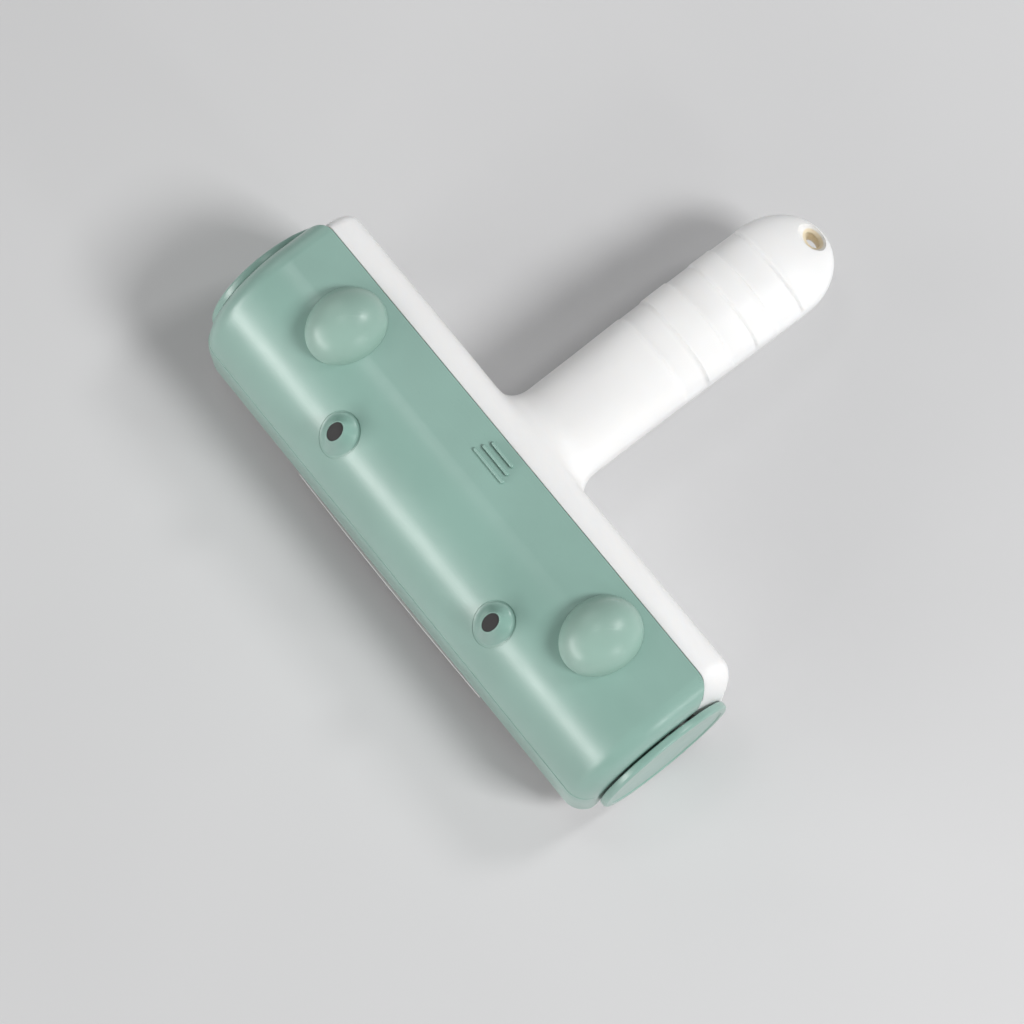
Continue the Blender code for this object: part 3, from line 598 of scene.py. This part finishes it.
def dome_point(side, turn, angle):
    """A point of the egg; angle runs from its top, turn goes round it."""
    wide, deep, high = DOME_AXES
    across = wide * (1 + 0.03 * math.sin(turn)) * math.sin(angle) * math.cos(turn)
    along = deep * math.sin(angle) * math.sin(turn)
    return side * DOME_X + across, DOME_Y + along, DOME_Z + high * math.cos(angle)


def dome_foot(side, turn):
    """The angle at which the egg meets the lid, found by halving."""
    low, high = 0.5, 2.6
    for _ in range(30):
        middle = (low + high) / 2
        _, y, z = dome_point(side, turn, middle)
        above = z > lid_top_z(y) - STEP_DEPTH + 0.02
        low, high = (middle, high) if above else (low, middle)
    return low


def build_dome(name, side):
    """Half an egg that stands on the lid, closed by a shallow cone underneath."""
    sides, rows = 128, 46
    bm = bmesh.new()
    turns = [2 * math.pi * j / sides for j in range(sides)]
    feet = [dome_foot(side, turn) for turn in turns]
    rings = [[bm.verts.new(dome_point(side, 0.0, 0.0))]]
    for k in range(1, rows + 1):
        angles = [foot * (k / rows) for foot in feet]
        ring = [dome_point(side, turn, angle) for turn, angle in zip(turns, angles)]
        rings.append([bm.verts.new(point) for point in ring])
    rings.append([bm.verts.new((side * DOME_X, DOME_Y, TOP_Z - STEP_DEPTH + 0.05))])
    skin(bm, rings, sides)
    dome = new_object(f"ear_egg_{name}", bm, LIT_DOME_GREEN)
    dome.data.shade_smooth()
    dome.data.set_sharp_from_angle(angle=math.radians(60))
    return finish_piece(dome, "lid", f"ear_dome_{name}")


# ---------------------------------------------------------------- housing

def housing_outline(depth=0.0):
    """The housing's section, inset by depth; its top falls faster than it is inset."""
    top = TOP_Z - SEAM_DROP - 0.2 - HOUSING_END_DROP * depth
    rear = REAR_Y - depth
    shoulder = (REAR_SHOULDER[0] - depth, REAR_SHOULDER[1] - 1.6 * depth)
    foot = FOOT_RADIUS - depth
    points = [(-52.0, top)]
    points += arc((rear - shoulder[0], top - shoulder[1]), shoulder, 90.0, 0.0, 20)
    points += arc((rear - foot, depth + foot), foot, 0.0, -90.0, 12)
    points.append((-52.0, depth))
    return points


def handle_size(y):
    """Half width, half height and centre height of the handle at y."""
    near = min(max(ROOT_FILLET - (y - REAR_Y), 0.0), ROOT_FILLET)
    flare = ROOT_FILLET - math.sqrt(ROOT_FILLET ** 2 - near ** 2)
    width = HANDLE_WIDTH + HANDLE_GAIN * smooth_step(-10.0, 50.0, y) + flare
    thin = 1 - HANDLE_THINNING * smooth_step(30.0, TIP_Y, y)
    height = HANDLE_HEIGHT * thin + 0.8 * flare
    centre = HANDLE_Z - HANDLE_DROOP * smooth_step(DROOP_START_Y, TIP_Y, y)
    past = max((y - TIP_START_Y) / (TIP_Y - TIP_START_Y), 0.0)
    tip = math.sqrt(max(1 - past * past, 0.0004))
    return width * tip, height * tip, centre


def handle_section(y, sides=96, power=2.25):
    """A superellipse: slightly squarer than an ellipse."""
    width, height, centre = handle_size(y)
    ring = []
    for k in range(sides):
        angle = 2 * math.pi * k / sides
        cos, sin = math.cos(angle), math.sin(angle)
        x = math.copysign(abs(cos) ** (2 / power), cos)
        z = math.copysign(abs(sin) ** (2 / power), sin)
        ring.append((x * width, y, centre + z * height))
    return ring


def handle_bar():
    """Sections from inside the housing to the tip, closer together in the fillet and round the tip."""
    tip_length = TIP_Y - TIP_START_Y
    stations = [-34.0]
    stations += [REAR_Y + ROOT_FILLET * (1 - math.cos(math.radians(7.5 * k))) for k in range(13)]
    stations += [-17.0 + 2.0 * k for k in range(41)]
    stations += [TIP_START_Y + tip_length * math.sin(math.radians(4.0 * k)) for k in range(1, 23)]
    return loft([handle_section(y) for y in stations])


def coordinates(mesh):
    flat = np.empty(len(mesh.vertices) * 3, np.float32)
    mesh.vertices.foreach_get("co", flat)
    return flat.reshape(-1, 3).astype(np.float64)


def relax(mesh, points, weight, rounds):
    """Laplacian smoothing, stronger where weight is."""
    pairs = np.empty(len(mesh.edges) * 2, np.int32)
    mesh.edges.foreach_get("vertices", pairs)
    first, second = pairs.reshape(-1, 2).T
    count = np.bincount(first, minlength=len(points)) + np.bincount(second, minlength=len(points))
    count = np.maximum(count, 1)[:, None]
    for _ in range(rounds):
        total = np.empty_like(points)
        for axis in range(3):
            total[:, axis] = np.bincount(first, points[second, axis], len(points))
            total[:, axis] += np.bincount(second, points[first, axis], len(points))
        points += (total / count - points) * weight[:, None]
    return points


def band_depth(y):
    """How deep each point of the handle is sunk, from its y in millimetres; a fine lip lines each band."""
    depth = np.zeros_like(y)
    for low, high in BANDS:
        rise = np.clip((y - low) / BAND_RAMP, 0, 1) * np.clip((high - y) / BAND_RAMP, 0, 1)
        lip = np.exp(-(((y - low + 0.5) / 0.55) ** 2)) + np.exp(-(((y - high - 0.5) / 0.55) ** 2))
        depth = np.maximum(depth, rise) - BAND_LIP * lip
    return depth * BAND_DEPTH


def place_points(mesh, points):
    mesh.vertices.foreach_set("co", (points * MM).ravel())
    mesh.update()


def housing_form():
    """The head's bar and the handle joined, with even faces all over."""
    bar = rounded_bar(housing_outline, HOUSING_HALF, HOUSING_END_RADIUS, 14)
    body = new_object("housing_form", bar, WHITE)
    boolean(body, handle_bar(), "UNION")
    remesh = body.modifiers.new("even faces", "REMESH")
    remesh.mode = "VOXEL"
    remesh.voxel_size = 0.55 * MM
    return bake(body)


def soften(mesh):
    """Evens the whole surface a little, and the handle's root a lot."""
    points = coordinates(mesh) / MM
    relax(mesh, points, np.full(len(points), 0.5), 6)
    root = np.exp(-(((points[:, 0] / 26.0) ** 4) + (((points[:, 1] + 26.0) / 9.0) ** 4)))
    relax(mesh, points, 0.6 * root, 90)
    place_points(mesh, points)
    return points


def sink_bands(mesh, points):
    """Sinks the finger bands into the handle's upper half."""
    normals = np.empty(len(points) * 3, np.float32)
    mesh.vertices.foreach_get("normal", normals)
    normals = normals.reshape(-1, 3)
    droop = np.clip((points[:, 1] - DROOP_START_Y) / (TIP_Y - DROOP_START_Y), 0, 1)
    centre = HANDLE_Z - HANDLE_DROOP * droop
    upper = np.clip((points[:, 2] - centre - 0.5) / 3.0, 0, 1)
    sunk = band_depth(points[:, 1]) * upper
    points -= normals * sunk[:, None]
    place_points(mesh, points)


def lid_room_outline(depth):
    rear = SEAM_Y + 0.2 - depth
    above = TOP_Z + 9
    return [(-70.0, LID_LEDGE_Z), (-70.0, above), (rear, above), (rear, LID_LEDGE_Z)]


def scoop():
    """The soft oval scoop round the hanging hole's upper rim."""
    bm = bmesh.new()
    bmesh.ops.create_uvsphere(bm, u_segments=64, v_segments=32, radius=1.0)
    place = Matrix.Translation((0, HOLE_Y - 0.2, 34.4))
    bm.transform(place @ Matrix.Diagonal((5.6, 4.2, 7.4, 1)))
    return bm


def hanging_hole():
    """The hole through the tip, narrower below its mouth."""
    rings = []
    for z, taper in ((60.0, 0.0), (31.0, 0.0), (24.0, HOLE_TAPER), (-20.0, HOLE_TAPER)):
        axes = (HOLE_AXES[0] - taper, HOLE_AXES[1] - taper)
        ring = arc((0.0, HOLE_Y), axes, 0.0, 360.0, 64)[:-1]
        rings.append([(x, y, z) for x, y in ring])
    return loft(rings)


def parting(offset):
    """Everything below the parting surface, which follows the middle of the handle."""
    line = [(-FAR, HANDLE_Z + offset)]
    for k in range(14):
        y = DROOP_START_Y + 5.0 * k
        line.append((y, handle_size(y)[2] + offset))
    line += [(FAR, handle_size(TIP_Y)[2] + offset), (FAR, -60.0), (-FAR, -60.0)]
    return prism_x(line, -130, 130)


def cut_rooms(body):
    """Makes room for the lid, the hair bin and the drum."""
    behind = SEAM_Y + GAP
    bin_top = LID_LEDGE_Z + 0.1
    middle = [(-90, -20), (FOOT_FRONT_Y, -20), (FOOT_FRONT_Y, 30), (behind, 30)]
    middle += [(behind, bin_top), (-90, bin_top)]
    boolean(body, box((-FAR, -90, -20), (FAR, -42, 90)))
    boolean(body, rounded_bar(lid_room_outline, LID_HALF + 0.2, LID_END_RADIUS + 0.2, 14))
    boolean(body, prism_x(middle, -DRUM_ROOM_HALF, DRUM_ROOM_HALF))
    drum = cylinder_x((AXIS_Y, AXIS_Z), DRUM_ROOM_RADIUS, -DRUM_ROOM_HALF, DRUM_ROOM_HALF, 160)
    boolean(body, drum)
    boolean(body, box((-FAR, -90, -20), (FAR, FOOT_FRONT_Y, 14)))


def cut_screw_wells(lower):
    """Wells for the housing screws from below, and sinks for the rear plate screws in the ends."""
    for y in HOUSING_SCREWS_Y:
        centre = handle_size(y)[2]
        boolean(lower, prism_z(arc((0.0, y), 3.1, 0, 360, 40)[:-1], -20.0, centre - 4.0))
    for _, side in SIDES:
        boolean(lower, cylinder_x((-36.0, 24.0), 2.6, *sorted((side * 89.5, side * 95)), 40))


def build_housing():
    """The white body and handle as one softly blended form, cut into its two halves."""
    body = housing_form()
    points = soften(body.data)
    sink_bands(body.data, points)
    cut_rooms(body)
    boolean(body, hanging_hole())
    boolean(body, scoop())
    lower = body.copy()
    lower.data = body.data.copy()
    bpy.context.scene.collection.objects.link(lower)
    body.name, lower.name = "housing_top", "housing_base"
    boolean(body, parting(SPLIT_GAP))
    snap_ridge = box((-10, SEAM_Y - 1.5, 42.8), (10, SEAM_Y + 1.0, LID_LEDGE_Z))
    boolean(body, snap_ridge, "UNION")
    boolean(lower, parting(-SPLIT_GAP), "INTERSECT")
    cut_screw_wells(lower)
    for piece in (body, lower):
        piece.data.shade_smooth()
        piece.data.set_sharp_from_angle(angle=math.radians(35))
    finish_piece(body, "frame", "upper_housing")
    finish_piece(lower, "frame", "lower_housing")


# ---------------------------------------------------------------- drum

def cap_profile():
    """(x, radius) from the spigot's middle, round the rim and over a fine step to the dished face."""
    r, inner, outer = CAP_RADIUS, CAP_INNER_X, CAP_OUTER_X
    face_x, face_radius, dish, steps = outer - 0.44, r - 2.8, 0.2, 8
    profile = [(SPIGOT_X, 0.0), (SPIGOT_X, SPIGOT_RADIUS), (inner, SPIGOT_RADIUS)]
    profile += [(inner, r - 0.5), (inner + 0.15, r - 0.15), (inner + 0.5, r), (outer - 1.0, r)]
    for angle in (0.35, 0.8, 1.2, 1.5):
        profile.append((outer - 1.0 + 0.9 * math.sin(angle), r - 0.9 + 0.9 * math.cos(angle)))
    profile += [(outer - 0.08, r - 2.3), (outer - 0.14, r - 2.45), (outer - 0.42, r - 2.6)]
    profile.append((face_x, face_radius))
    for k in range(1, steps + 1):
        share = k / steps
        profile.append((face_x - dish * share ** 2, face_radius * (1 - share)))
    return profile


def build_cap(name, side):
    """The drum's end disc."""
    cap = new_object(f"end_disc_{name}", turned_x(cap_profile(), side), GREEN)
    shade(cap, 40.0)
    return finish_piece(cap, "drum", f"end_cap_{name}")


def pad_surface(sign, around, along):
    """Grids of x, of the angle round the drum and of the radius over one pad's pile."""
    rng = np.random.default_rng(5 if sign > 0 else 9)
    low, high = PAD_SPAN
    base = PAD_INNER + 0.35
    u = np.linspace(0, 1, around + 1)
    v = np.linspace(-1, 1, along + 1)
    uu, vv = np.meshgrid(u, v, indexing="ij")
    edge = np.minimum(np.minimum(uu, 1 - uu) * 18.0, (1 - abs(vv)) * 36.0)
    rise = np.sqrt(np.clip(1 - (1 - np.clip(edge, 0, 1)) ** 2, 0, 1))
    ripple = 0.06 * np.sin(vv * 9 + uu * 5) + 0.05 * np.sin(vv * 23 - uu * 11)
    fuzz = rng.uniform(-0.09, 0.09, uu.shape)
    radius = base + (PAD_OUTER - base) * rise + (ripple + fuzz) * rise
    angle = np.radians(sign * (low + (high - low) * uu) - 90)
    return PAD_HALF * vv, angle, radius


def drum_vert(bm, x, angle, radius):
    return bm.verts.new((x, AXIS_Y + radius * math.cos(angle), AXIS_Z + radius * math.sin(angle)))


def pad_rows(bm, xs, angles, radii):
    """Rows of points over the pile, and the points under it that line the pad's rim."""
    over, under = [], []
    last_row, last = xs.shape[0] - 1, xs.shape[1] - 1
    for i in range(last_row + 1):
        row, below = [], []
        for j in range(last + 1):
            row.append(drum_vert(bm, xs[i, j], angles[i, j], radii[i, j]))
            on_rim = i in (0, last_row) or j in (0, last)
            below.append(drum_vert(bm, xs[i, j], angles[i, j], PAD_INNER) if on_rim else None)
        over.append(row)
        under.append(below)
    return over, under


def pad_faces(bm, over, under):
    """The pile's faces, the flat back and the four turned-down edges."""
    last_row, last = len(over) - 1, len(over[0]) - 1
    for a, b in zip(over, over[1:]):
        for j in range(last):
            bm.faces.new((a[j], a[j + 1], b[j + 1], b[j]))
    for i in range(last_row):
        a, b = under[i], under[i + 1]
        bm.faces.new((a[0], a[last], b[last], b[0]))
        for j in (0, last):
            bm.faces.new((over[i][j], over[i + 1][j], b[j], a[j]))
    for i in (0, last_row):
        for j in range(last):
            bm.faces.new((over[i][j], over[i][j + 1], under[i][j + 1], under[i][j]))


def build_pad(name, sign):
    """A strip of short-pile fabric bonded round the drum, its edges turned down."""
    bm = bmesh.new()
    over, under = pad_rows(bm, *pad_surface(sign, around=54, along=300))
    pad_faces(bm, over, under)
    pad = new_object(f"lint_pad_{name}", bm, FABRIC)
    pad.data.shade_smooth()
    return finish_piece(pad, "drum", f"fabric_pad_{name}")


# ---------------------------------------------------------------- remaining CAD pieces

def dress_nodes():
    """Gives each CAD piece its material, and all but the thin hinge pins a fine edge radius."""
    slots = {row["node"]: row["material_slot"] for row in frame["record"]["subparts"]}
    for name, node in frame["nodes"].items():
        node.data.materials.clear()
        node.data.materials.append(FINISH[slots[name]])
        if name.startswith("hinge_pin"):
            continue
        rounding = node.modifiers.new("edge radius", "BEVEL")
        rounding.width = 0.15 * MM
        rounding.segments = 2
        rounding.limit_method = "ANGLE"
        rounding.angle_limit = math.radians(40)


# ---------------------------------------------------------------- studio

LAMP_AIM = Vector((0.0, -0.02, 0.02))


def area_light(name, direction, distance, size, power, colour=(1.0, 1.0, 1.0)):
    """A soft lamp that stands off the object in the given direction and faces it."""
    data = bpy.data.lights.new(name, "AREA")
    data.shape = "RECTANGLE"
    data.size, data.size_y = size
    data.energy = power
    data.color = colour
    light = bpy.data.objects.new(name, data)
    bpy.context.scene.collection.objects.link(light)
    light.location = LAMP_AIM + Vector(direction).normalized() * distance
    light.rotation_euler = (LAMP_AIM - light.location).to_track_quat("-Z", "Y").to_euler()
    return light


def floor_material():
    """Matt pale paper."""
    n = Nodes("studio_floor")
    place = n.position()
    cloud = n.remap(n.noise(place, 6.0, 3.0), 0.3, 0.7)
    n.link(n.mix(cloud, rgba(0.625, 0.625, 0.63), rgba(0.645, 0.645, 0.65)), "Base Color")
    n.shader.inputs["Roughness"].default_value = 0.9
    n.shader.inputs["Specular IOR Level"].default_value = 0.1
    return n.material


def build_floor():
    bm = bmesh.new()
    bmesh.ops.create_grid(bm, x_segments=1, y_segments=1, size=4000.0)
    floor = new_object("floor", bm, floor_material())


def build_lamps():
    """The key gives shade and shadow only; each small or long lamp makes one highlight."""
    key = area_light("key", (0.80, 0.40, 0.93), 2.0, (0.56, 0.56), 25.5)
    key.visible_glossy = False
    area_light("front_strip", (-0.21, -0.95, 0.25), 1.5, (1.7, 0.32), 13.0, (1.0, 0.995, 0.98))
    area_light("front_fill", (-0.45, -0.80, 0.45), 1.8, (1.2, 0.9), 3.0)
    area_light("end_lamp", (0.93, 0.05, 0.36), 1.0, (0.12, 0.28), 0.9)
    area_light("rear_lamp", (0.20, 0.63, 0.75), 1.0, (0.17, 0.17), 2.1)
    area_light("top_left", (-0.29, 0.0, 0.95), 1.0, (0.17, 0.17), 0.42)
    area_light("left_fill", (-0.80, 0.05, 0.50), 1.5, (0.8, 0.8), 1.2, (1.0, 0.965, 0.955))


def build_world():
    world = bpy.data.worlds.new("studio")
    bpy.context.scene.world = world
    world.use_nodes = True
    background = world.node_tree.nodes["Background"]
    background.inputs["Color"].default_value = rgba(0.98, 0.99, 1.0)
    background.inputs["Strength"].default_value = 0.175
    bpy.context.scene.view_settings.view_transform = "Standard"


def build_camera():
    """A long lens, nearly straight above, with the handle pointing up to the right."""
    azimuth, elevation, distance = math.radians(51.5), math.radians(76.0), 0.85324
    target = Vector((0.01047, -0.0446, 0.03319))
    level_error = math.radians(-0.13)
    level = math.cos(elevation)
    away = Vector((math.sin(azimuth) * level, -math.cos(azimuth) * level, math.sin(elevation)))
    data = bpy.data.cameras.new("camera")
    data.sensor_width = 36.0
    data.lens = 102.0
    obj = bpy.data.objects.new("camera", data)
    bpy.context.scene.collection.objects.link(obj)
    turn = (-away).to_track_quat("-Z", "Y").to_matrix().to_4x4()
    roll = Matrix.Rotation(level_error, 4, "Z")
    obj.matrix_world = Matrix.Translation(target + away * distance) @ turn @ roll
    bpy.context.scene.camera = obj


build_camera()
build_floor()
build_lamps()
build_world()
dress_nodes()
build_lid()
for label, direction in SIDES:
    build_eye(label, direction)
    build_pupil(label, direction)
    build_dome(label, direction)
    build_cap(label, direction)
build_housing()
build_pad("front", -1)
build_pad("rear", 1)

bpy.context.view_layer.update()
